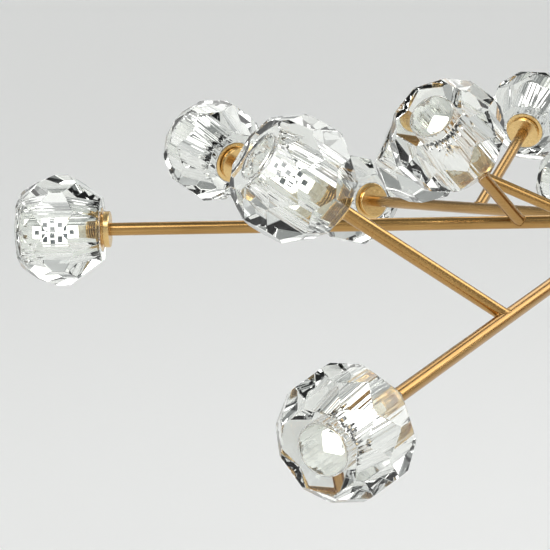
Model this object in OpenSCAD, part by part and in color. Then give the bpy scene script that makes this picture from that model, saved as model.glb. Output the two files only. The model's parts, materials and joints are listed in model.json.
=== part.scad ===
// Multi arm chandelier: six branching brass arms on a turned hub, eighteen cut crystal globes.
// Millimetres, +Z up. The origin is the centre of the ceiling face of the mounting bracket.

/* [Suspension] */
// Ceiling face down to the hub centre
hub_drop = 620; // [450:10:1200]
// Outside diameter of the stem
stem_d = 16; // [14:1:20]
// Wall of the stem
stem_wall = 1.75; // [1.5:0.25:2]
// Outside diameter of the canopy
canopy_d = 140; // [120:5:180]
// Height of the canopy
canopy_h = 28; // [26:1:34]
// Sheet thickness of the canopy
canopy_wall = 1.2; // [0.8:0.2:2]

/* [Ceiling bracket] */
// Length of the bracket
bracket_len = 110; // [100:5:120]
// Width of the bracket
bracket_w = 24; // [20:1:30]
// Thickness of the bracket
bracket_t = 3; // [2:0.5:3]
// Distance between the middles of the two screw slots
slot_spacing = 80; // [70:1:84]
// Length of each screw slot, end to end
slot_len = 20; // [12:1:20]
// Width of each screw slot
slot_w = 5; // [4:0.5:6]

/* [Hub] */
// Outside diameter of the hub
hub_d = 68; // [68:1:80]
// Height of the hub's straight wall
hub_h = 44; // [44:1:60]
// Diameter of the six arm bosses
boss_d = 18; // [17:0.5:20]
// Running clearance between arm tube and boss bore, on the radius
arm_fit = 0.05; // [0.03:0.01:0.1]

/* [Arms] */
// Hub centre to the middle of the tip globe
arm_len = 531; // [500:1:600]
// Outside diameter of the main tube
tube_d = 12; // [12:0.5:12]
// Outside diameter of a branch tube
branch_d = 11.4; // [10.5:0.1:11.6]
// Wall of all arm tubes
tube_wall = 1.2; // [1:0.1:1.5]
// Where the outer branch leaves the main tube, from the hub centre
outer_at = 275; // [260:1:300]
// Length of the outer branch, main axis to globe middle
outer_len = 220; // [200:1:240]
// Angle between the outer branch and the main tube
outer_angle = 55; // [50:0.5:65]
// Where the inner branch leaves the main tube, from the hub centre
inner_at = 110; // [105:1:130]
// Length of the inner branch, main axis to globe middle
inner_len = 154; // [145:1:165]
// Angle between the inner branch and the main tube
inner_angle = 63.5; // [60:0.5:70]
// Turn from the outer to the inner branch round the main tube
inner_turn = 122; // [115:1:130]

/* [Globes] */
// Middle of the globe to its flat front face
globe_front = 38.5; // [37:0.5:41]
// Middle of the globe to its flat back face
globe_back = 38; // [37:0.5:39]
// Middle of the globe to the flats of its belt
globe_belt = 47; // [45:0.5:48]
// Number of facets in each row
facet_count = 8; // [8:2:12]
// Diameter of the blind bore
bore_d = 40.16; // [40.1:0.02:40.3]
// Middle of the globe to the flat end of the bore
bore_end = 30; // [26:1:31]

/* [Lamp holders] */
// Diameter of the cap behind the globe
cap_d = 33.5; // [30:0.5:36]
// Height of the cap with its neck
cap_h = 7; // [6.5:0.5:8]
// Diameter of the threaded ring in the globe's mouth
ring_d = 40; // [40:0.5:40]
// Outside diameter of the socket cup
cup_d = 28; // [28:0.5:32]

/* [Hidden] */
$fn = 64;
ARMS = 6;
GLOBES = ["tip", "outer", "inner"];
// Slope and roll of the arms; opposite arms match, so the hub hangs level
SLOPES = [-1.5, -7.3, -7.3];
ROLLS = [14, 51, 28];
// Facet rows from front to back: angle from the axis, distance from the middle, half steps turned
FACET_ROWS = [[49, 48.3, 0], [64.5, 48.3, 1], [90, globe_belt, 0], [125.5, 45.5, 1]];
BRASS = [0.75, 0.56, 0.30];
CRYSTAL = [0.86, 0.92, 0.95, 0.45];

stem_id = stem_d - 2 * stem_wall;
tube_id = tube_d - 2 * tube_wall;
branch_id = branch_d - 2 * tube_wall;

// Hole for the earth screw, from the middle of the bracket
earth_hole_x = 20;

// Swivel under the bracket, heights below the ceiling face
nipple_d = 10;
nipple_bore = 7.2;
nipple_len = 17;
nut_af = 14;
nut_h = 4;
swivel_d = 30;
swivel_top = 12;
swivel_floor = 28;
swivel_bottom = 34;
swivel_cavity_d = 22;
swivel_fit = 0.05;
// Two holes for a pin spanner, from the axis
spanner_r = 8.6;
spindle_d = stem_id;
spindle_end = 52;
stem_top = 36;
canopy_gap = 0.4;
canopy_ring_d = 42;
canopy_ring_h = 7;
cable_d = 6;

finial_ball_r = 9;
finial_neck_r = 4;

// Hub, measured from its centre
hub_wall = 8;
hub_roof = 6;
hub_collar_d = 26;
hub_collar_top = hub_h / 2 + 14;
cavity_r = hub_d / 2 - hub_wall;
seat_at = 26.5;
shoulder_at = 30;
boss_end = 42;
end_gap = 0.3;
spigot_d = 10;
spigot_start = 19.5;
spigot_bore = 7;
terminal_d = 26;
terminal_h = 14;
cover_t = 3;
cover_rim = 5;
finial_screw_d = 6;

// Lamp holder, measured from the globe middle along the globe axis
holder_back = -globe_back - cap_h;
tube_depth = 5;
tube_seat = holder_back + tube_depth;
wire_hole_d = 8;
neck_d = 28;
neck_h = 1.6;
ring_front = -globe_back + 7;
cup_floor = -globe_back + 2;
cup_front = -18;
cup_id = 25.2;
socket_d = 24.8;
socket_front = -13;
socket_nose_d = 20;
pin_spacing = 9;
pin_d = 2;
bulb_foot_d = 20;
bulb_foot_h = 5;
bulb_w = 17;
bulb_tip = 16;
thread_pitch = 1.6;
lead_d = 4.6;

ARM_NODES = [for (i = [1 : ARMS], s = ["frame", "holders", "sockets", "bulbs", "leads"])
    str("arm_", i, "_", s)];
GLOBE_NODES = [for (i = [1 : ARMS], g = GLOBES) str("globe_", i, "_", g)];

// ---- placing ----

// Moves a child from the arm's own frame (main tube along +X) to arm i
module on_arm(i) {
    k = (i - 1) % len(SLOPES);
    translate([0, 0, -hub_drop])
        rotate([-ROLLS[k], -SLOPES[k], (i - 1) * 360 / ARMS])
            children();
}

// Moves a child from the globe's own frame (front along +Z) to globe g in the arm's frame
module on_branch(g) {
    if (g == "tip")
        translate([arm_len, 0, 0]) rotate([0, 90, 0]) children();
    if (g == "outer")
        translate([outer_at, 0, 0]) rotate([0, 0, -outer_angle])
            translate([outer_len, 0, 0]) rotate([0, 90, 0]) children();
    if (g == "inner")
        rotate([-inner_turn, 0, 0]) translate([inner_at, 0, 0]) rotate([0, 0, -inner_angle])
            translate([inner_len, 0, 0]) rotate([0, 90, 0]) children();
}

// A rod of length from a to b along +X
module rod_x(d, a, b) {
    translate([a, 0, 0]) rotate([0, 90, 0]) cylinder(d = d, h = b - a);
}

module hex_nut(af, h, bore) {
    difference() {
        cylinder(d = af / cos(30), h = h, $fn = 6);
        translate([0, 0, -1]) cylinder(d = bore, h = h + 2);
    }
}

// ---- suspension ----

module ceiling_bracket() {
    color("silver")
    difference() {
        translate([-bracket_len / 2, -bracket_w / 2, -bracket_t])
            cube([bracket_len, bracket_w, bracket_t]);
        for (x = [-1, 1])
            translate([x * slot_spacing / 2, 0, -bracket_t - 1])
                linear_extrude(bracket_t + 2) {
                    for (e = [-1, 1])
                        translate([e * (slot_len - slot_w) / 2, 0]) circle(d = slot_w);
                    square([slot_len - slot_w, slot_w], center = true);
                }
        translate([0, 0, -bracket_t - 1]) cylinder(d = nipple_d, h = bracket_t + 2);
        translate([earth_hole_x, 0, -bracket_t - 1]) cylinder(d = 4.2, h = bracket_t + 2);
    }
}

module ceiling_nipple() {
    color("silver") {
        difference() {
            translate([0, 0, -nipple_len]) cylinder(d = nipple_d, h = nipple_len);
            translate([0, 0, -nipple_len - 1]) cylinder(d = nipple_bore, h = nipple_len + 2);
        }
        translate([0, 0, -bracket_t - nut_h]) hex_nut(nut_af, nut_h, nipple_d);
    }
}

module swivel_cup() {
    color(BRASS)
    difference() {
        translate([0, 0, -swivel_bottom]) cylinder(d = swivel_d, h = swivel_bottom - swivel_top);
        translate([0, 0, -swivel_bottom - 1])
            cylinder(d = swivel_cavity_d, h = swivel_bottom - nipple_len + 1);
        translate([0, 0, -nipple_len - 1]) cylinder(d = nipple_d, h = nipple_len);
    }
}

module swivel_nut() {
    color(BRASS)
    difference() {
        translate([0, 0, -swivel_bottom])
            cylinder(d = swivel_cavity_d, h = swivel_bottom - swivel_floor);
        translate([0, 0, -swivel_bottom - 1])
            cylinder(d = spindle_d + 2 * swivel_fit, h = swivel_bottom);
        for (x = [-1, 1])
            translate([x * spanner_r, 0, -swivel_bottom - 1]) cylinder(d = 2.4, h = 4);
    }
}

module swivel_spindle() {
    head_d = swivel_cavity_d - 3;
    head_h = 7;
    color("silver")
    difference() {
        union() {
            translate([0, 0, -swivel_floor + 0.3]) cylinder(d = head_d, h = head_h);
            translate([0, 0, -spindle_end])
                cylinder(d = spindle_d, h = spindle_end - swivel_floor + 1);
        }
        translate([0, 0, -spindle_end - 1]) cylinder(d = nipple_bore, h = spindle_end);
    }
}

// Spun brass dish, open at the top
module canopy() {
    rim = 10;
    r = canopy_d / 2;
    hole_r = swivel_d / 2 + canopy_gap;
    color(BRASS)
    translate([0, 0, -canopy_h - 0.5])
        rotate_extrude()
            difference() {
                canopy_outline(r, hole_r, rim, canopy_h);
                translate([0, canopy_wall])
                    canopy_outline(r - canopy_wall, hole_r - 1, rim - canopy_wall, canopy_h);
            }
}

// Half section of a dish whose lower edge is rounded
module canopy_outline(r, hole_r, rim, h) {
    translate([hole_r, 0]) square([r - rim - hole_r, h]);
    translate([hole_r, rim]) square([r - hole_r, h - rim]);
    intersection() {
        translate([r - rim, rim]) circle(r = rim);
        translate([r - rim, 0]) square([rim, rim]);
    }
}

module canopy_ring() {
    notches = 24;
    ring_r = canopy_ring_d / 2;
    bore_r = swivel_d / 2 + canopy_gap;
    bevel = 1;
    color(BRASS)
    translate([0, 0, -canopy_h - 0.5 - canopy_ring_h])
        difference() {
            rotate_extrude()
                polygon([[bore_r, 0], [ring_r - bevel, 0], [ring_r, bevel],
                         [ring_r, canopy_ring_h - bevel], [ring_r - bevel, canopy_ring_h],
                         [bore_r, canopy_ring_h]]);
            for (k = [0 : notches - 1])
                rotate([0, 0, k * 360 / notches])
                    translate([ring_r + 0.3, 0, -1]) cylinder(r = 1, h = canopy_ring_h + 2);
        }
}

module stem() {
    bottom = hub_drop - hub_h / 2 - 2;
    color(BRASS)
    difference() {
        translate([0, 0, -bottom]) cylinder(d = stem_d, h = bottom - stem_top);
        translate([0, 0, -bottom - 1]) cylinder(d = stem_id, h = bottom);
    }
}

// Supply cable down the stem, and the terminal block that it ends in
module supply_wiring() {
    color("white") {
        translate([0, 0, -hub_drop + terminal_h / 2])
            cylinder(d = cable_d, h = hub_drop - terminal_h / 2 - 1);
        translate([0, 0, -hub_drop - terminal_h / 2]) cylinder(d = terminal_d, h = terminal_h);
    }
}

// ---- hub ----

module hub_body() {
    r = hub_d / 2;
    half = hub_h / 2;
    edge = 4;
    color(BRASS)
    difference() {
        union() {
            translate([0, 0, -hub_drop])
                rotate_extrude()
                    polygon([[0, -half], [r, -half], [r, half - edge], [r - edge, half],
                             [hub_collar_d / 2 + 3, half + 3], [hub_collar_d / 2, half + 6],
                             [hub_collar_d / 2, hub_collar_top - 1],
                             [hub_collar_d / 2 - 1, hub_collar_top], [0, hub_collar_top]]);
            for (i = [1 : ARMS]) on_arm(i) rod_x(boss_d, shoulder_at, boss_end);
        }
        translate([0, 0, -hub_drop - half - 1]) cylinder(r = cavity_r, h = hub_h + 1 - hub_roof);
        translate([0, 0, -hub_drop]) cylinder(d = stem_id, h = hub_h);
        translate([0, 0, -hub_drop + half + 2]) cylinder(d = stem_d, h = hub_h);
        for (i = [1 : ARMS])
            on_arm(i) {
                rod_x(boss_d, 12, seat_at);
                rod_x(spigot_d + 0.2, 12, boss_end);
                rod_x(tube_d + 2 * arm_fit, shoulder_at, boss_end + 1);
            }
    }
}

// A turned shell, hollow on top, whose spigot fits the hub's cavity
module hub_cover() {
    r = hub_d / 2;
    spigot = 3;
    color(BRASS)
    translate([0, 0, -hub_drop - hub_h / 2])
        difference() {
            rotate_extrude()
                polygon([[0, spigot], [cavity_r, spigot], [cavity_r, 0], [r, 0], [r, -1],
                         [r - 4, -cover_rim], [12, -cover_rim - cover_t],
                         [0, -cover_rim - cover_t]]);
            translate([0, 0, -20]) cylinder(d = finial_screw_d, h = 40);
            translate([0, 0, -2]) cylinder(r1 = 14, r2 = 23, h = 2 + spigot + 1);
        }
}

module finial() {
    base = -hub_drop - hub_h / 2 - cover_rim - cover_t;
    flange_r = 8;
    color(BRASS)
    translate([0, 0, base]) {
        cylinder(d = finial_screw_d, h = 6);
        rotate_extrude()
            polygon([[0, 0], [flange_r, 0], [flange_r, -2], [finial_neck_r, -4],
                     [finial_neck_r, -6], [0, -6]]);
        difference() {
            translate([0, 0, -4 - finial_ball_r]) sphere(r = finial_ball_r);
            translate([-10, -10, -4.5]) cube([20, 20, 10]);
        }
    }
}

// ---- arms ----

// Main tube with its spigot and two brazed branch tubes, and the locknut inside the hub
module arm_frame() {
    color(BRASS) {
        difference() {
            union() {
                rod_x(tube_d, shoulder_at + end_gap, arm_len + tube_seat);
                rod_x(spigot_d, spigot_start, shoulder_at + 2);
                branch_tube("outer", branch_d, outer_len, 2);
                branch_tube("inner", branch_d, inner_len, 2);
            }
            rod_x(spigot_bore, spigot_start - 1, shoulder_at + 10);
            rod_x(tube_id, shoulder_at + 6, arm_len);
            branch_tube("outer", branch_id, outer_len + 1, 0);
            branch_tube("inner", branch_id, inner_len + 1, 0);
        }
        translate([seat_at - end_gap - nut_h, 0, 0]) rotate([0, 90, 0])
            hex_nut(nut_af, nut_h, spigot_d);
    }
}

// A rod along a branch, from near the main axis to the tube's seat in its lamp holder
module branch_tube(g, d, reach, start) {
    full = g == "outer" ? outer_len : inner_len;
    on_branch(g)
        translate([0, 0, -full + start])
            cylinder(d = d, h = reach + tube_seat - start);
}

// Cap, threaded ring and socket cup, turned from one bar
module holder() {
    color(BRASS)
    difference() {
        rotate_extrude() holder_outline();
        translate([0, 0, holder_back - 1]) cylinder(d = tube_d, h = 1 + tube_depth);
        translate([0, 0, holder_back - 1]) cylinder(d = wire_hole_d, h = 20);
        translate([0, 0, cup_floor]) cylinder(d = cup_id, h = 40);
    }
}

module holder_outline() {
    r = ring_d / 2;
    cup = cup_d / 2;
    cap = cap_d / 2;
    crests = 3;
    polygon(concat(
        [[0, holder_back], [cap - 0.8, holder_back], [cap, holder_back + 0.8],
         [cap, -globe_back - neck_h - 0.4], [cap - 0.4, -globe_back - neck_h],
         [neck_d / 2, -globe_back - neck_h], [neck_d / 2, -globe_back], [r - 0.6, -globe_back]],
        // thread crests of the ring
        [for (k = [0 : crests - 1], c = [[0.2, 0], [0.8, 0], [1.1, 0.7], [1.4, 0.7]])
            [r - c[1], -globe_back + 0.6 + k * thread_pitch + c[0]]],
        [[r, ring_front - 1], [r - 0.6, ring_front], [cup, ring_front]],
        // thread of the socket cup
        [for (k = [0 : 5], c = [[0.3, 0], [0.9, 0], [1.2, 0.5], [1.5, 0.5]])
            [cup - c[1], ring_front + 1 + k * thread_pitch + c[0]]],
        [[cup, cup_front - 0.6], [cup - 0.5, cup_front], [0, cup_front]]));
}

// Ceramic lamp socket with its two contact holes
module socket() {
    color("ivory")
    difference() {
        union() {
            translate([0, 0, cup_floor]) cylinder(d = socket_d, h = cup_front - cup_floor);
            translate([0, 0, cup_front]) cylinder(d = cup_d - 1, h = 2);
            translate([0, 0, cup_front]) cylinder(d = socket_nose_d, h = socket_front - cup_front);
        }
        for (x = [-1, 1])
            translate([x * pin_spacing / 2, 0, socket_front - 9]) cylinder(d = pin_d, h = 20);
    }
}

// Lamp with a square tower of light chips, two loop pins and a round foot
module bulb() {
    corner = 2;
    color("white") {
        translate([0, 0, socket_front]) cylinder(d = bulb_foot_d, h = bulb_foot_h);
        translate([0, 0, socket_front + bulb_foot_h])
            linear_extrude(bulb_tip - socket_front - bulb_foot_h)
                bulb_section(bulb_w, corner);
        for (x = [-1, 1])
            translate([x * pin_spacing / 2, 0, socket_front - 8]) cylinder(d = pin_d, h = 9);
    }
}

module bulb_section(w, corner) {
    for (x = [-1, 1], y = [-1, 1])
        translate([x * (w / 2 - corner), y * (w / 2 - corner)]) circle(r = corner);
    square([w, w - 2 * corner], center = true);
    square([w - 2 * corner, w], center = true);
}

// Lead from the hub to the three sockets, inside the tubes
module leads() {
    color("black") {
        rod_x(lead_d, spigot_start - 3, arm_len + cup_floor);
        for (g = ["outer", "inner"]) {
            full = g == "outer" ? outer_len : inner_len;
            on_branch(g) translate([0, 0, -full]) cylinder(d = lead_d, h = full + cup_floor);
        }
    }
}

module arm_holders() {
    for (g = GLOBES) on_branch(g) holder_for(g);
}

// The branch tubes are a little thinner than the main tube
module holder_for(g) {
    color(BRASS)
    union() {
        holder();
        if (g != "tip")
            translate([0, 0, holder_back])
                difference() {
                    cylinder(d = tube_d, h = tube_depth);
                    translate([0, 0, -1]) cylinder(d = branch_d, h = tube_depth + 2);
                }
    }
}

// ---- globes ----

// The half space below one facet
module below_facet(angle, dist, turn) {
    big = 200;
    rotate([0, angle, turn])
        translate([-big / 2, -big / 2, dist - big]) cube(big);
}

// Cut crystal body: what is left inside all facet planes
module globe_blank() {
    step = 360 / facet_count;
    intersection() {
        translate([-100, -100, -globe_back]) cube([200, 200, globe_back + globe_front]);
        intersection_for(row = FACET_ROWS)
            intersection_for(k = [0 : facet_count - 1])
                below_facet(row[0], row[1], (k + row[2] / 2) * step);
    }
}

module globe() {
    color(CRYSTAL)
    difference() {
        globe_blank();
        translate([0, 0, -globe_back - 1]) cylinder(d = bore_d, h = bore_end + globe_back + 1);
    }
}

// ---- assembly ----

ceiling_bracket();
ceiling_nipple();
swivel_cup();
swivel_nut();
swivel_spindle();
canopy();
canopy_ring();
stem();
hub_body();
hub_cover();
finial();
supply_wiring();
for (i = [1 : ARMS]) {
    on_arm(i) arm_frame();
    on_arm(i) arm_holders();
    on_arm(i) for (g = GLOBES) on_branch(g) socket();
    on_arm(i) for (g = GLOBES) on_branch(g) bulb();
    on_arm(i) leads();
    for (g = GLOBES)
        on_arm(i) on_branch(g) globe();
}
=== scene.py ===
"""Looks of a multi arm chandelier: satin brass, cut crystal globes and lit pin lamps."""
import json
import math

import bmesh
import bpy
import numpy as np
from mathutils import Matrix, Vector

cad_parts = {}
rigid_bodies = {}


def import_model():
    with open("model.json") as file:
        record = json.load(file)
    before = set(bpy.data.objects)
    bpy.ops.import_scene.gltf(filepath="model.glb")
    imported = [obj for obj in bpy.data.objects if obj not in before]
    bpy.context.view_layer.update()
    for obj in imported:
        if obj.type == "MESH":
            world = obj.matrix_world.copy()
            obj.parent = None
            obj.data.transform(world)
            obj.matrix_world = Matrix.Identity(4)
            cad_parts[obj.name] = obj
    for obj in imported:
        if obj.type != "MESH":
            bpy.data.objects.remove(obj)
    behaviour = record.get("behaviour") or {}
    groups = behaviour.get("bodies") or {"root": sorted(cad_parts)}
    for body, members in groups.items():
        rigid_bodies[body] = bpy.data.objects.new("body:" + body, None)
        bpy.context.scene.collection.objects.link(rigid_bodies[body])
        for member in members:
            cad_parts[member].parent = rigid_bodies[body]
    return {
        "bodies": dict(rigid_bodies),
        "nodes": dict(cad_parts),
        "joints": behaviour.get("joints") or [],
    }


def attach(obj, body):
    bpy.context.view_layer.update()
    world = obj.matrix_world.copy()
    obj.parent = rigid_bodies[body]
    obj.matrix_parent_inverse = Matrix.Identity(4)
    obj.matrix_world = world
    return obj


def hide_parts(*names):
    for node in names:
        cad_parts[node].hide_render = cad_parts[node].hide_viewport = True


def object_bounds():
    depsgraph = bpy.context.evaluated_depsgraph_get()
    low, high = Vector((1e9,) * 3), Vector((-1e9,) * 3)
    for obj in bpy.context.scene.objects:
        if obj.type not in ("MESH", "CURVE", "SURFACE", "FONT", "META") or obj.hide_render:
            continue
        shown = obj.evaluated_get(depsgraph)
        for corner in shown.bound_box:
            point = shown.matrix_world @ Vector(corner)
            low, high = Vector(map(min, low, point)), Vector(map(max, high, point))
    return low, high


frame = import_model()
cad_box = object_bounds()
nodes = frame["nodes"]
joints = {joint["name"]: joint for joint in frame["joints"]}
arms = sorted(name for name in frame["bodies"] if name.startswith("arm_"))


# ---- Camera ----
# A long lens a little above the hub, which looks down on the arms that reach out to the left.
# The hub itself stays outside the frame, on the right.
VIEW_DISTANCE = 1.910
VIEW_PITCH = math.radians(12.5)
VIEW_TURN = math.radians(2.5)
HUB_RIGHT_OF_FRAME, HUB_ABOVE_FRAME = 0.3338, 0.0500
LENS, SENSOR = 137.45, 36.0
FAR_CLIP = 100.0

roll = joints["arm_1_roll"]
arm_axis = Vector(roll["axis"])
hub_middle = Vector(roll["pos_m"])
hub_middle -= arm_axis * math.hypot(hub_middle.x, hub_middle.y) / math.hypot(arm_axis.x, arm_axis.y)

forward = Vector((-math.sin(VIEW_TURN) * math.cos(VIEW_PITCH),
                  math.cos(VIEW_TURN) * math.cos(VIEW_PITCH),
                  -math.sin(VIEW_PITCH)))
right = Vector((math.cos(VIEW_TURN), math.sin(VIEW_TURN), 0))
up = right.cross(forward)
camera_data = bpy.data.cameras.new("camera")
camera_data.lens = LENS
camera_data.sensor_width = SENSOR
camera_data.clip_end = FAR_CLIP
camera = bpy.data.objects.new("camera", camera_data)
camera_turn = Matrix((right, up, -forward)).transposed().to_4x4()
camera_at = hub_middle - forward * VIEW_DISTANCE - right * HUB_RIGHT_OF_FRAME - up * HUB_ABOVE_FRAME
camera.matrix_world = Matrix.Translation(camera_at) @ camera_turn
bpy.context.scene.collection.objects.link(camera)
bpy.context.scene.camera = camera
bpy.context.scene.view_settings.view_transform = "Standard"


# ---- Studio ----
# A pale floor far below the lamp, a pale dome round it, and soft boxes under a grey ceiling.
# The grey between the boxes gives crystal and metal something dark to show.
class Wire:
    """An output socket of a shader tree. Sums on it add Math nodes, and add() puts in any other node."""

    def __init__(self, tree, socket=None):
        self.tree, self.socket = tree, socket

    def add(self, kind, settings=None, values=None, out=0):
        """A node of that kind: first its settings, then its sockets' values or links, by name or number."""
        node = self.tree.nodes.new(kind)
        for key, value in (settings or {}).items():
            setattr(node, key, value)
        for key, value in (values or {}).items():
            if isinstance(value, Wire):
                self.tree.links.new(value.socket, node.inputs[key])
            else:
                node.inputs[key].default_value = value
        return Wire(self.tree, node.outputs[out]) if node.outputs else node

    def maths(self, operation, *terms):
        """A Math node in this tree, on the terms that are given."""
        return self.add("ShaderNodeMath", {"operation": operation}, dict(enumerate(terms)))

    def __add__(self, other):
        return self.maths("ADD", self, other)

    def __rsub__(self, other):
        return self.maths("SUBTRACT", other, self)

    def __mul__(self, other):
        return self.maths("MULTIPLY", self, other)

    __radd__, __rmul__ = __add__, __mul__

    def step(self, low, high):
        """0 below low, 1 above high, and a smooth rise between them."""
        return self.add("ShaderNodeMapRange", {"interpolation_type": "SMOOTHSTEP"},
                        {"Value": self, "From Min": low, "From Max": high})

    def mix(self, a, b):
        """Colour a where this is 0, and b where it is 1."""
        return self.add("ShaderNodeMix", {"data_type": "RGBA"}, {0: self, 6: a, 7: b}, out=2)


def new_tree(owner):
    """An empty shader tree in a material or the world."""
    owner.use_nodes = True
    owner.node_tree.nodes.clear()
    return Wire(owner.node_tree)


FLOOR_DEPTH = 0.75
FLOOR_RADIUS, FLOOR_SIDES = 30.0, 64
FLOOR_PAINT = (0.90, 0.90, 0.90, 1)
PALE = (0.67, 0.685, 0.685, 1)
CEILING_GREY = (0.25, 0.262, 0.26, 1)
BOX_WHITE = (2.4, 2.4, 2.35, 1)
# Soft boxes round the dome, and how far their ring is turned
BOX_COUNT, BOX_TURN = 5, 0.6
# Each pair is where a change starts and ends. Heights go from 0 at the horizon to 1 overhead.
CEILING_STARTS = (0.24, 0.36)
BOX_BOTTOM, BOX_TOP = (0.42, 0.50), (0.80, 0.88)
BOX_SIDE = (0.15, 0.35)

world = bpy.data.worlds.new("studio")
bpy.context.scene.world = world
sky = new_tree(world)
direction = sky.add("ShaderNodeTexCoord", out=0)
east, north, height = (sky.add("ShaderNodeSeparateXYZ", None, {0: direction}, out=k) for k in range(3))
around = sky.maths("ARCTAN2", north, east)
wave = sky.maths("SINE", around * BOX_COUNT + BOX_TURN)
boxes = wave.step(*BOX_SIDE) * height.step(*BOX_BOTTOM) * (1 - height.step(*BOX_TOP))
ceiling = height.step(*CEILING_STARTS)
dome = boxes.mix(ceiling.mix(PALE, CEILING_GREY), BOX_WHITE)
sky.add("ShaderNodeOutputWorld", None,
        {0: sky.add("ShaderNodeBackground", None, {"Color": dome, "Strength": 1.0})})

floor_z = cad_box[0][2] - FLOOR_DEPTH
floor_mesh = bpy.data.meshes.new("floor")
floor_turn = np.linspace(0, 2 * math.pi, FLOOR_SIDES, endpoint=False)
floor_rim = np.stack([np.cos(floor_turn), np.sin(floor_turn), 0 * floor_turn], 1) * FLOOR_RADIUS
floor_mesh.from_pydata((floor_rim + [0, 0, floor_z]).tolist(), [], [list(range(FLOOR_SIDES))])
floor = bpy.data.objects.new("floor", floor_mesh)
bpy.context.scene.collection.objects.link(floor)
floor_paint = bpy.data.materials.new("floor_paint")
paint = new_tree(floor_paint)
matt = paint.add("ShaderNodeBsdfPrincipled", None, {"Base Color": FLOOR_PAINT, "Roughness": 0.9})
paint.add("ShaderNodeOutputMaterial", None, {0: matt})
floor_mesh.materials.append(floor_paint)


def soft_box(name, at, size, watts):
    """A square area lamp that faces the hub."""
    data = bpy.data.lights.new(name, "AREA")
    data.energy, data.size = watts, size
    lamp = bpy.data.objects.new(name, data)
    lamp.location = hub_middle + Vector(at)
    lamp.rotation_euler = Vector(at).to_track_quat("Z", "Y").to_euler()
    bpy.context.scene.collection.objects.link(lamp)


soft_box("key_light", (-1.6, -2.4, 2.6), 1.6, 38)
soft_box("fill_light", (2.6, 1.4, 2.0), 1.8, 25)


# ---- Suspension and hub ----
# Turned and spun brass: canopy, its knurled ring, swivel, stem, hub, cover and finial.
# The lathe leaves fine rings round the upright axis under a satin lacquer.
BRASS_LIGHT = (0.54, 0.325, 0.118, 1)
BRASS_DEEP = (0.36, 0.205, 0.068, 1)


def satin_brass(name, along, stretch, deep=BRASS_DEEP, light=BRASS_LIGHT, painted_root_shade=None):
    """Brushed brass: noise whose grain is stretched along one direction shifts its colour and gloss. The
    roots of a thread get painted shade: a dark colour where the mesh marks its grooves, in place of the shade
    that falls there."""
    material = bpy.data.materials.new(name)
    tree = new_tree(material)
    spot = tree.add("ShaderNodeTexCoord", out=3)
    lay = Vector(along).to_track_quat("Z", "Y").to_euler()
    grain_spot = tree.add("ShaderNodeMapping", {"vector_type": "TEXTURE"},
                          {"Vector": spot, "Rotation": lay, "Scale": stretch})
    grain = tree.add("ShaderNodeTexNoise", None, {"Vector": grain_spot, "Scale": 900, "Detail": 3})
    cloud = tree.add("ShaderNodeTexNoise", None, {"Vector": spot, "Scale": 14, "Detail": 2})
    colour = (grain * 0.6 + cloud * 0.4).step(0.2, 0.8).mix(deep, light)
    if painted_root_shade:
        # Painted shade: the groove mark darkens the roots of the thread.
        colour = tree.add("ShaderNodeAttribute", {"attribute_name": "groove"}, out=2).mix(colour, painted_root_shade)
    gloss = 0.14 + grain * 0.14 + cloud * 0.08
    bump = tree.add("ShaderNodeBump", None, {"Strength": 0.05, "Distance": 0.0003, "Height": grain})
    metal = tree.add("ShaderNodeBsdfPrincipled", None,
                     {"Base Color": colour, "Roughness": gloss, "Metallic": 1.0, "Normal": bump})
    tree.add("ShaderNodeOutputMaterial", None, {0: metal})
    return material


def paint_node(name, material):
    """Gives a CAD node one material and leaves its mesh as it is."""
    slots = nodes[name].data.materials
    slots.clear()
    slots.append(material)


turned_brass = satin_brass("turned_brass", (0, 0, 1), (10, 10, 1))
for name in ("swivel_cup", "swivel_nut", "canopy", "canopy_ring", "hub_body", "hub_cover", "finial"):
    paint_node(name, turned_brass)
paint_node("stem", satin_brass("drawn_brass", (0, 0, 1), (1, 1, 16)))


# ---- Ceiling bracket, nipple and spindle ----
# Pressed and turned steel with a thin zinc plating, whose crystals show as a faint cloudy pattern.
def zinc_plate():
    """Grey metal with flat patches of slightly different brightness."""
    material = bpy.data.materials.new("zinc_plate")
    tree = new_tree(material)
    spot = tree.add("ShaderNodeTexCoord", out=3)
    patch = tree.add("ShaderNodeTexVoronoi", None, {"Vector": spot, "Scale": 260})
    tone = tree.add("ShaderNodeTexNoise", None, {"Vector": spot, "Scale": 90, "Detail": 2})
    colour = (patch * 0.5 + tone * 0.6).step(0.2, 0.9).mix((0.50, 0.51, 0.52, 1), (0.66, 0.67, 0.69, 1))
    metal = tree.add("ShaderNodeBsdfPrincipled", None,
                     {"Base Color": colour, "Roughness": 0.28 + tone * 0.2, "Metallic": 1.0})
    tree.add("ShaderNodeOutputMaterial", None, {0: metal})
    return material


zinc = zinc_plate()
for name in ("ceiling_bracket", "ceiling_nipple", "swivel_spindle"):
    paint_node(name, zinc)


# ---- Wiring ----
# A white supply cable in the stem and black leads in the arms, both in matt plastic sheaths.
def sheath(name, light, dark):
    """Matt plastic, slightly mottled by the extruder."""
    material = bpy.data.materials.new(name)
    tree = new_tree(material)
    spot = tree.add("ShaderNodeTexCoord", out=3)
    mottle = tree.add("ShaderNodeTexNoise", None, {"Vector": spot, "Scale": 220, "Detail": 2})
    colour = mottle.step(0.3, 0.7).mix(light, dark)
    plastic = tree.add("ShaderNodeBsdfPrincipled", None,
                       {"Base Color": colour, "Roughness": 0.45 + mottle * 0.2})
    tree.add("ShaderNodeOutputMaterial", None, {0: plastic})
    return material


paint_node("supply_wiring", sheath("cable_sheath", (0.80, 0.80, 0.78, 1), (0.72, 0.72, 0.70, 1)))
lead_sheath = sheath("lead_sheath", (0.020, 0.020, 0.022, 1), (0.035, 0.035, 0.038, 1))
for arm in arms:
    paint_node(arm + "_leads", lead_sheath)


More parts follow.
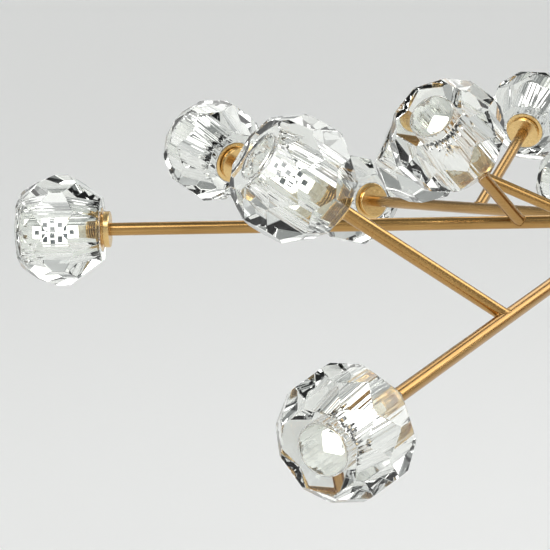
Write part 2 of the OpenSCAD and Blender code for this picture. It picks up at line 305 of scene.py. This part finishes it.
# ---- Arms ----
# Drawn brass tube, 12 mm, with two branches coped to it and brazed, then brushed lengthwise.
# The braze leaves a small bright bead round the foot of each branch.
TUBE_R = 0.0060
BRANCH_R = 0.0057
BEAD_R = 0.0009
BEAD_STEPS, BEAD_SIDES = 72, 10


def add_piece(name, mesh, body, material):
    """Links a finished mesh as a piece that rides on a body."""
    piece = bpy.data.objects.new(name, mesh)
    bpy.context.scene.collection.objects.link(piece)
    if material is not None:
        mesh.materials.append(material)
    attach(piece, body)
    return piece


def grid_faces(rows, columns, close_rows=False):
    """Quads of a grid whose columns close on themselves, and whose rows do if asked."""
    r = np.arange(rows if close_rows else rows - 1)[:, None]
    c = np.arange(columns)[None, :]
    here, below = r * columns, (r + 1) % rows * columns
    beside = (c + 1) % columns
    return np.stack([here + c, here + beside, below + beside, below + c], -1).reshape(-1, 4)


def frame_of(arm, branch):
    """The arm's main axis, the branch's own, and the direction across the main axis towards its globe."""
    main = Vector(joints[arm + "_roll"]["axis"]).normalized()
    unscrew = joints[arm.replace("arm", "globe") + "_" + branch + "_unscrew"]
    out = Vector(unscrew["axis"]).normalized()
    return main, out, (out - main * out.dot(main)).normalized()


def braze_bead(arm, branch):
    """A round bead along the curve where branch and main tube meet. Round the branch by angle p, the curve's
    distance across is sqrt(R^2 - b^2 sin^2 p), and the bead is a circle in the two tubes' normals there."""
    main, out, across = (np.array(v) for v in frame_of(arm, branch))
    globe = np.array(joints[arm.replace("arm", "globe") + "_" + branch + "_unscrew"]["pos_m"])
    hub = np.array(hub_middle)
    reach = (globe - hub) @ across / (out @ across)
    foot = globe - out * reach
    side = np.cross(main, across)
    lean = np.cross(side, out)
    p = np.linspace(0, 2 * math.pi, BEAD_STEPS, endpoint=False)[:, None]
    round_branch = np.cos(p) * lean + np.sin(p) * side
    high = np.sqrt(TUBE_R ** 2 - (BRANCH_R * np.sin(p)) ** 2)
    run = (high - BRANCH_R * np.cos(p) * (lean @ across)) / (out @ across)
    curve = foot + BRANCH_R * round_branch + run * out
    from_main = (high * across + BRANCH_R * np.sin(p) * side) / TUBE_R
    other = round_branch - (round_branch * from_main).sum(1, keepdims=True) * from_main
    other /= np.linalg.norm(other, axis=1, keepdims=True)
    q = np.linspace(0, 2 * math.pi, BEAD_SIDES, endpoint=False)[None, :, None]
    ring = curve[:, None] + BEAD_R * (np.cos(q) * from_main[:, None] + np.sin(q) * other[:, None])
    return ring.reshape(-1, 3)


for arm in arms:
    main_axis = frame_of(arm, "tip")[0]
    brushed = satin_brass("brushed_" + arm, main_axis, (1, 1, 30))
    paint_node(arm + "_frame", brushed)
    points = np.concatenate([braze_bead(arm, branch) for branch in ("outer", "inner")])
    quads = grid_faces(BEAD_STEPS, BEAD_SIDES, close_rows=True)
    quads = np.concatenate([quads, quads + BEAD_STEPS * BEAD_SIDES])
    bead_mesh = bpy.data.meshes.new(arm + "_braze")
    bead_mesh.from_pydata(points.tolist(), [], quads.tolist())
    bead_mesh.shade_smooth()
    shape = bmesh.new()
    shape.from_mesh(bead_mesh)
    bmesh.ops.recalc_face_normals(shape, faces=shape.faces)
    shape.to_mesh(bead_mesh)
    shape.free()
    add_piece(arm + "_braze", bead_mesh, arm, brushed)


# ---- Lamp holders and sockets ----
# Cap, threaded ring and threaded socket cup, turned from one brass bar and soldered to the tube's end.
# A glazed cream ceramic socket sits in the cup. Heights are from the globe's middle, along its axis.
HOLDER_BACK, CAP_R, NECK_R, NECK_BACK, GLASS_BACK = -0.0450, 0.01675, 0.0140, -0.0396, -0.0380
RING_R, RING_FRONT = 0.0200, -0.0310
CUP_R, CUP_FRONT, CUP_FLOOR, CUP_BORE = 0.0140, -0.0180, -0.0360, 0.0126
WIRE_HOLE_R, TUBE_SEAT = 0.0040, -0.0400
CHAMFER = 0.0005
# Threads: pitch, depth, and how many rings of points run along them
RING_THREAD = (0.0015, 0.0006, 41)
CUP_THREAD = (0.0024, 0.0010, 81)
# Plain lengths beside the threads: at the ring's two ends, at the cup's root and at its lip
RING_END, ROOT_END, LIP_END = 0.0003, 0.0002, 0.0010
# The lip's bevel: how far it steps in at each of its two corners, and its height
LIP_IN, LIP_HIGH = 0.0003, 0.0004
HOLDER_SIDES = 96
# The holders' brass is polished, and its colour is also lightened past the arms' brass as painted light, for
# the light the glass keeps off it
HOLDER_LIT_GOLD_DEEP = (0.70, 0.46, 0.18, 1)
HOLDER_LIT_GOLD = (0.86, 0.62, 0.29, 1)
# Painted shade for the roots of the threads, where shade would fall in the grooves
THREAD_ROOT_SHADE = (0.17, 0.080, 0.022, 1)


def threaded(low, high, radius, pitch, depth, rings):
    """Rows of a threaded cylinder. At height z and angle t the radius dips by depth times a raised cosine of
    z / pitch less t as a part of a full turn, so that the groove climbs one pitch for each turn. The groove
    fades out over half a pitch at both ends, and is given back from 0 to 1."""
    z = np.linspace(low, high, rings)[:, None]
    t = np.linspace(0, 2 * math.pi, HOLDER_SIDES, endpoint=False)[None, :]
    groove = 0.5 - 0.5 * np.cos(2 * math.pi * (z / pitch) - t)
    fade = np.clip(np.minimum(z - low, high - z) / (0.5 * pitch), 0, 1)
    return radius - depth * groove * fade, z + 0 * t, groove * fade


def plain(points):
    """Rows of a turned surface without grooves: one ring for each radius and height."""
    r, z = (np.array(column)[:, None] for column in zip(*points))
    flat = np.zeros(HOLDER_SIDES)
    return r + flat, z + flat, 0 * z + flat


def holder_points():
    """The whole holder as one closed band of rings: out over the cap, ring and cup, and back through the
    bore. Beside the points it gives how deep each lies in a thread's groove, from 0 to 1."""
    bands = [
        plain([(TUBE_R, HOLDER_BACK), (CAP_R - CHAMFER, HOLDER_BACK), (CAP_R, HOLDER_BACK + CHAMFER),
               (CAP_R, NECK_BACK - CHAMFER), (CAP_R - CHAMFER, NECK_BACK), (NECK_R, NECK_BACK),
               (NECK_R, GLASS_BACK), (RING_R - CHAMFER, GLASS_BACK)]),
        threaded(GLASS_BACK + RING_END, RING_FRONT - RING_END, RING_R, *RING_THREAD),
        plain([(RING_R - CHAMFER, RING_FRONT), (CUP_R - LIP_HIGH, RING_FRONT)]),
        threaded(RING_FRONT + ROOT_END, CUP_FRONT - LIP_END, CUP_R, *CUP_THREAD),
        plain([(CUP_R - LIP_IN, CUP_FRONT - LIP_HIGH), (CUP_R - 2 * LIP_IN, CUP_FRONT), (CUP_BORE, CUP_FRONT),
               (CUP_BORE, CUP_FLOOR), (WIRE_HOLE_R, CUP_FLOOR), (WIRE_HOLE_R, TUBE_SEAT),
               (TUBE_R, TUBE_SEAT)])]
    r, z, groove = (np.concatenate(column) for column in zip(*bands))
    t = np.linspace(0, 2 * math.pi, HOLDER_SIDES, endpoint=False)[None, :]
    return np.stack([r * np.cos(t), r * np.sin(t), z], -1), groove


def globe_place(arm, branch):
    """Where a globe sits: its middle, its axis as local Z, and its first facet to the arm's underside."""
    unscrew = joints[arm.replace("arm", "globe") + "_" + branch + "_unscrew"]
    main, _, across = frame_of(arm, "outer" if branch == "tip" else branch)
    front = Vector(unscrew["axis"]).normalized()
    first = main.cross(across)
    second = front.cross(first)
    turned = Matrix((first, second, front)).transposed().to_4x4()
    return Matrix.Translation(Vector(unscrew["pos_m"])) @ turned


places = {(arm, branch): globe_place(arm, branch) for arm in arms for branch in ("tip", "outer", "inner")}


def mesh_at_places(name, arm, points, quads):
    """One mesh that holds a shape three times, at the arm's three globes, shaded sharp at its corners."""
    turns = [np.array(places[arm, branch]) for branch in ("tip", "outer", "inner")]
    spread = np.concatenate([points @ turn[:3, :3].T + turn[:3, 3] for turn in turns])
    mesh = bpy.data.meshes.new(name)
    faces = np.concatenate([quads + k * len(points) for k in range(3)])
    mesh.from_pydata(spread.tolist(), [], faces.tolist())
    mesh.shade_smooth()
    mesh.set_sharp_from_angle(angle=math.radians(40))
    return mesh


def glazed_ceramic():
    """Cream glaze, lightly speckled, over white ceramic."""
    material = bpy.data.materials.new("glazed_ceramic")
    tree = new_tree(material)
    spot = tree.add("ShaderNodeTexCoord", out=3)
    speckle = tree.add("ShaderNodeTexNoise", None, {"Vector": spot, "Scale": 350, "Detail": 3})
    cream = speckle.step(0.35, 0.65).mix((0.90, 0.82, 0.65, 1), (0.95, 0.89, 0.75, 1))
    shell = tree.add("ShaderNodeBsdfPrincipled", None,
                     {"Base Color": cream, "Roughness": 0.22 + speckle * 0.12, "Coat Weight": 0.4})
    tree.add("ShaderNodeOutputMaterial", None, {0: shell})
    return material


holder_rings, holder_groove = holder_points()
holder_quads = grid_faces(len(holder_rings), HOLDER_SIDES, close_rows=True)
# Lightened brass for the holders: partly polish, partly painted light inside the globes
holder_brass = satin_brass("holder_brass", (0, 0, 1), (3, 3, 3), HOLDER_LIT_GOLD_DEEP, HOLDER_LIT_GOLD, THREAD_ROOT_SHADE)
glaze = glazed_ceramic()
for arm in arms:
    holder_mesh = mesh_at_places(arm + "_holder_set", arm, holder_rings.reshape(-1, 3), holder_quads)
    # The groove depth, which also places the painted shade in the thread roots
    groove_mark = holder_mesh.attributes.new("groove", "FLOAT", "POINT")
    groove_mark.data.foreach_set("value", np.tile(holder_groove.ravel(), 3))
    holders = add_piece(arm + "_holder_set", holder_mesh, arm, holder_brass)
    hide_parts(arm + "_holders")
    paint_node(arm + "_sockets", glaze)


# ---- Crystal globes ----
# Each globe is one piece of clear lead crystal with four rows of polished facets and flat front and back.
# The blind bore behind is moulded, so that faint flutes run along its wall.
GLOBE_FRONT = 0.0385
GLOBE_BACK = 0.038
FACETS = 8
# Rows from the front to the back: angle from the axis, distance from the middle, half steps turned
FACET_ROWS = ((49.0, 0.0483, 0), (64.5, 0.0483, 1), (90.0, 0.0470, 0), (125.5, 0.0455, 1))
BLOCK = 0.2
EDGE = 0.00035
BORE_R = 0.02025
BORE_END = 0.030
BORE_CORNER = 0.0018
# Rings of the bevelled mouth: how much wider than the wall, and how far in. The wall begins past them.
MOUTH_RINGS = ((0.0010, 0.0), (0.0003, 0.0006))
WALL_START = 0.0012
# Rings of the slightly dished end: radius, and how far past the end
END_RINGS = ((0.010, 0.0002), (0.004, 0.0003))
BORE_SIDES = 288
FLUTE = 0.00013
# The flutes start above the threaded mouth, rise over one length and fade before the bore's end over another
FLUTE_START, FLUTE_RISE, FLUTE_FALL = 0.007, 0.012, 0.003


def clear_crystal():
    """Lead crystal, whose slight cast is a warm green."""
    material = bpy.data.materials.new("lead_crystal")
    tree = new_tree(material)
    glass = tree.add("ShaderNodeBsdfPrincipled", None,
                     {"Base Color": (0.935, 0.950, 0.918, 1), "Roughness": 0.0, "IOR": 1.54,
                      "Transmission Weight": 1.0})
    tree.add("ShaderNodeOutputMaterial", None, {0: glass})
    return material


def cut_facets(shape):
    """Cuts a block down to what lies inside every facet plane, then takes off its sharp edges."""
    planes = [(0.0, GLOBE_FRONT, 0.0), (180.0, GLOBE_BACK, 0.0)]
    step = 360 / FACETS
    planes += [(tilt, far, (k + half / 2) * step) for tilt, far, half in FACET_ROWS for k in range(FACETS)]
    bmesh.ops.create_cube(shape, size=BLOCK)
    for tilt, far, turn in planes:
        normal = Matrix.Rotation(math.radians(turn), 3, "Z") @ Matrix.Rotation(math.radians(tilt), 3, "Y") \
            @ Vector((0, 0, 1))
        everything = shape.verts[:] + shape.edges[:] + shape.faces[:]
        cut = bmesh.ops.bisect_plane(shape, geom=everything, plane_co=normal * far, plane_no=normal,
                                     clear_outer=True)["geom_cut"]
        bmesh.ops.edgeloop_fill(shape, edges=[e for e in cut if isinstance(e, bmesh.types.BMEdge)])
    bmesh.ops.remove_doubles(shape, verts=shape.verts, dist=1e-5)
    bmesh.ops.bevel(shape, geom=shape.edges[:], offset=EDGE, segments=1, profile=0.5, affect="EDGES",
                    clamp_overlap=True)


def bore_rings():
    """The bore's wall and end, ring by ring from the mouth. Its radius swells by a few unequal waves round
    the axis, most in the middle, and its corner is a quarter circle."""
    t = np.linspace(0, 2 * math.pi, BORE_SIDES, endpoint=False)
    waves = 0.7 * np.sin(9 * t) + 0.8 * np.sin(23 * t + 1.1) + 0.8 * np.sin(34 * t + 2.3)
    wider, mouth = np.array(MOUTH_RINGS).T
    end_r, dish = np.array(END_RINGS).T
    bend = np.linspace(0, math.pi / 2, 6)[1:]
    wall_z = np.linspace(-GLOBE_BACK + WALL_START, BORE_END - BORE_CORNER, 12)
    corner_z = BORE_END - BORE_CORNER * (1 - np.sin(bend))
    corner_r = BORE_R - BORE_CORNER * (1 - np.cos(bend))
    z = np.concatenate([mouth - GLOBE_BACK, wall_z, corner_z, BORE_END + dish])
    r = np.concatenate([BORE_R + wider, 0 * wall_z + BORE_R, corner_r, end_r])
    rise = np.clip((z + GLOBE_BACK - FLUTE_START) / FLUTE_RISE, 0, 1)
    depth = rise * np.clip((BORE_END - z) / FLUTE_FALL, 0, 1)
    radius = r[:, None] + FLUTE * (waves + 1.6)[None, :] * depth[:, None]
    return np.stack([radius * np.cos(t), radius * np.sin(t), z[:, None] + 0 * radius], -1)


def globe_mesh():
    """The cut block with its back face opened and joined to the bore. The faces are then put into a fixed
    order, because the fill between rim and mouth lists them in a new one each run."""
    shape = bmesh.new()
    cut_facets(shape)
    back = min(shape.faces, key=lambda f: f.calc_center_median().z - f.calc_area())
    rim = back.edges[:]
    bmesh.ops.delete(shape, geom=[back], context="FACES_ONLY")
    rings = bore_rings()
    rows = [[shape.verts.new(p) for p in ring] for ring in rings.tolist()]
    mouth = [shape.edges.new((rows[0][k], rows[0][k - 1])) for k in range(BORE_SIDES)]
    bmesh.ops.triangle_fill(shape, use_beauty=True, use_dissolve=False, edges=rim + mouth)
    for near, far in zip(rows, rows[1:]):
        for k in range(BORE_SIDES):
            wall = shape.faces.new((near[k - 1], near[k], far[k], far[k - 1]))
            wall.smooth = True
    centre = shape.verts.new((0, 0, BORE_END + END_RINGS[-1][1]))
    for k in range(BORE_SIDES):
        shape.faces.new((rows[-1][k - 1], rows[-1][k], centre)).smooth = True
    bmesh.ops.recalc_face_normals(shape, faces=shape.faces)
    shape.verts.index_update()
    faces = []
    for face in shape.faces:
        corners = [corner.index for corner in face.verts]
        first = corners.index(min(corners)) if len(corners) == 3 else 0
        faces.append((corners[first:] + corners[:first], face.smooth))
    faces.sort()
    mesh = bpy.data.meshes.new("globe_blank")
    mesh.from_pydata([tuple(v.co) for v in shape.verts], [], [corners for corners, _ in faces])
    mesh.polygons.foreach_set("use_smooth", [smooth for _, smooth in faces])
    shape.free()
    return mesh


crystal = clear_crystal()
blank = globe_mesh()
for (arm, branch), place in places.items():
    name = arm.replace("arm", "globe") + "_" + branch
    mesh = blank.copy()
    mesh.name = name + "_cut"
    mesh.transform(place)
    globe = add_piece(name + "_crystal", mesh, name, crystal)
    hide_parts(name)
bpy.data.meshes.remove(blank)


# ---- Pin lamps ----
# A white ceramic tower on a round foot, with square light chips let into its four sides.
# The foot is cream ceramic, and two wire pins go into the socket. The lamps are lit: the tower glows, and its
# chips look grey against it.
FOOT_Z, FOOT_R, FOOT_H = -0.013, 0.010, 0.005
TOWER_HALF, TOWER_TOP = 0.0085, 0.016
# Half the width and half the height of a chip, its thickness, and how far it is let in
CHIP_WIDE, CHIP_HIGH, CHIP_PROUD, CHIP_LET_IN = 0.0031, 0.0022, 0.0004, 0.0001
# Chips of one side: distance from the middle line, height
CHIP_PLACES = ((0.0, 0.0128), (-0.0047, 0.0060), (0.0047, 0.0060), (0.0, -0.0010))
PIN_R, PIN_OUT, PIN_LEN, PIN_SIDES = 0.001, 0.0045, 0.008, 12
TOWER_SIDES = 48
FOOT_ROWS = 5


def glowing(name, low, high, strength):
    """White ceramic that gives light, a little unevenly."""
    material = bpy.data.materials.new(name)
    tree = new_tree(material)
    spot = tree.add("ShaderNodeTexCoord", out=3)
    flow = tree.add("ShaderNodeTexNoise", None, {"Vector": spot, "Scale": 160, "Detail": 1})
    tower = tree.add("ShaderNodeBsdfPrincipled", None,
                     {"Base Color": (0.85, 0.85, 0.82, 1), "Roughness": 0.35,
                      "Emission Color": flow.step(0.2, 0.8).mix(low, high), "Emission Strength": strength})
    tree.add("ShaderNodeOutputMaterial", None, {0: tower})
    return material


def chip_grey():
    """The chips' phosphor face: grey beside the glowing tower, with a fine grain."""
    material = bpy.data.materials.new("light_chip")
    tree = new_tree(material)
    spot = tree.add("ShaderNodeTexCoord", out=3)
    grain = tree.add("ShaderNodeTexNoise", None, {"Vector": spot, "Scale": 900, "Detail": 1})
    face = tree.add("ShaderNodeBsdfPrincipled", None,
                    {"Base Color": grain.step(0.3, 0.7).mix((0.13, 0.15, 0.17, 1), (0.30, 0.33, 0.36, 1)),
                     "Roughness": 0.3})
    tree.add("ShaderNodeOutputMaterial", None, {0: face})
    return material


def tower_rings():
    """Foot, tower and top, ring by ring. A section is a square whose corners are rounded: the radius at angle
    t is half the width over the p-norm of the direction, with p at 2 on the foot and at 9 on the tower."""
    t = np.linspace(0, 2 * math.pi, TOWER_SIDES, endpoint=False)
    foot_top = FOOT_Z + FOOT_H
    levels = [(FOOT_Z, 0.0, 2), (FOOT_Z, FOOT_R - 0.0004, 2), (FOOT_Z + 0.0004, FOOT_R, 2),
              (foot_top - 0.0008, FOOT_R, 2), (foot_top, FOOT_R - 0.0008, 2), (foot_top, TOWER_HALF, 9),
              (TOWER_TOP - 0.0008, TOWER_HALF, 9), (TOWER_TOP - 0.0002, TOWER_HALF - 0.0003, 9),
              (TOWER_TOP, TOWER_HALF - 0.0010, 9), (TOWER_TOP, 0.0, 9)]
    z, half, power = (np.array(column)[:, None] for column in zip(*levels))
    norm = (np.abs(np.cos(t)) ** power + np.abs(np.sin(t)) ** power) ** (1 / power)
    return np.stack([half / norm * np.cos(t), half / norm * np.sin(t), z + 0 * norm], -1)


def pin_rings():
    """Two straight wires with round ends: four rings each, from the foot down."""
    t = np.linspace(0, 2 * math.pi, PIN_SIDES, endpoint=False)
    z = np.array([PIN_R, -PIN_LEN + PIN_R, -PIN_LEN + 0.3 * PIN_R, -PIN_LEN])[:, None]
    r = np.array([1, 1, 0.7, 0])[:, None] * PIN_R
    ring = np.stack([r * np.cos(t), r * np.sin(t), z + FOOT_Z + 0 * t], -1)
    return [ring + [side * PIN_OUT, 0, 0] for side in (-1, 1)]


def chip_boxes():
    """Low square blocks on the tower's four sides."""
    corner = np.array([[x, y, z] for x in (0, 1) for y in (-1, 1) for z in (-1, 1)], float)
    block = corner * [CHIP_PROUD, CHIP_WIDE, CHIP_HIGH]
    found = []
    for quarter in range(4):
        c, n = round(math.cos(quarter * math.pi / 2)), round(math.sin(quarter * math.pi / 2))
        turn = np.array([[c, n, 0], [-n, c, 0], [0, 0, 1]], float)
        found += [(block + [TOWER_HALF - CHIP_LET_IN, aside, high]) @ turn for aside, high in CHIP_PLACES]
    return found


def lamp_mesh(turn):
    """Tower, pins and chips as one mesh with four materials: tower 0, chips 1, wire 2, foot 3. The tower and
    its chips are turned on the foot, so that their first side is level."""
    c, n = math.cos(turn), math.sin(turn)
    level = np.array([[c, n, 0], [-n, c, 0], [0, 0, 1]])
    box_quads = np.array([(0, 1, 3, 2), (4, 6, 7, 5), (0, 4, 5, 1), (2, 3, 7, 6), (0, 2, 6, 4), (1, 5, 7, 3)])
    tower = tower_rings()
    tower_quads = grid_faces(*tower.shape[:2])
    tower_kinds = np.where(np.arange(len(tower_quads)) < FOOT_ROWS * TOWER_SIDES, 3, 0)
    parts = [(tower.reshape(-1, 3) @ level, tower_quads, tower_kinds)]
    parts += [(pin.reshape(-1, 3), grid_faces(*pin.shape[:2]), 2) for pin in pin_rings()]
    parts += [(box @ level, box_quads, 1) for box in chip_boxes()]
    starts = np.cumsum([0] + [len(points) for points, _, _ in parts])[:-1]
    mesh = bpy.data.meshes.new("lamp_blank")
    mesh.from_pydata(np.concatenate([points for points, _, _ in parts]).tolist(), [],
                     np.concatenate([quads + start for (_, quads, _), start in zip(parts, starts)]).tolist())
    kinds = np.concatenate([np.broadcast_to(kind, len(quads)) for _, quads, kind in parts])
    mesh.polygons.foreach_set("material_index", kinds.astype(np.int32))
    shape = bmesh.new()
    shape.from_mesh(mesh)
    bmesh.ops.remove_doubles(shape, verts=shape.verts, dist=1e-7)
    bmesh.ops.recalc_face_normals(shape, faces=shape.faces)
    for face in shape.faces:
        face.smooth = face.material_index == 2
    shape.to_mesh(mesh)
    shape.free()
    return mesh


tower_glow = glowing("lamp_tower", (0.92, 0.90, 0.86, 1), (1.0, 0.99, 0.96, 1), 2.0)
chip = chip_grey()
for arm in arms:
    shape = bmesh.new()
    for branch in ("tip", "outer", "inner"):
        place = places[arm, branch]
        level = Vector((0, 0, 1)).cross(place.col[2].xyz)
        copy = lamp_mesh(math.atan2(level.dot(place.col[1].xyz), level.dot(place.col[0].xyz)))
        copy.transform(place)
        shape.from_mesh(copy)
        bpy.data.meshes.remove(copy)
    mesh = bpy.data.meshes.new(arm + "_lamps")
    shape.to_mesh(mesh)
    shape.free()
    for finish in (tower_glow, chip, zinc, glaze):
        mesh.materials.append(finish)
    lamps = add_piece(arm + "_lamps", mesh, arm, None)
    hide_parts(arm + "_bulbs")
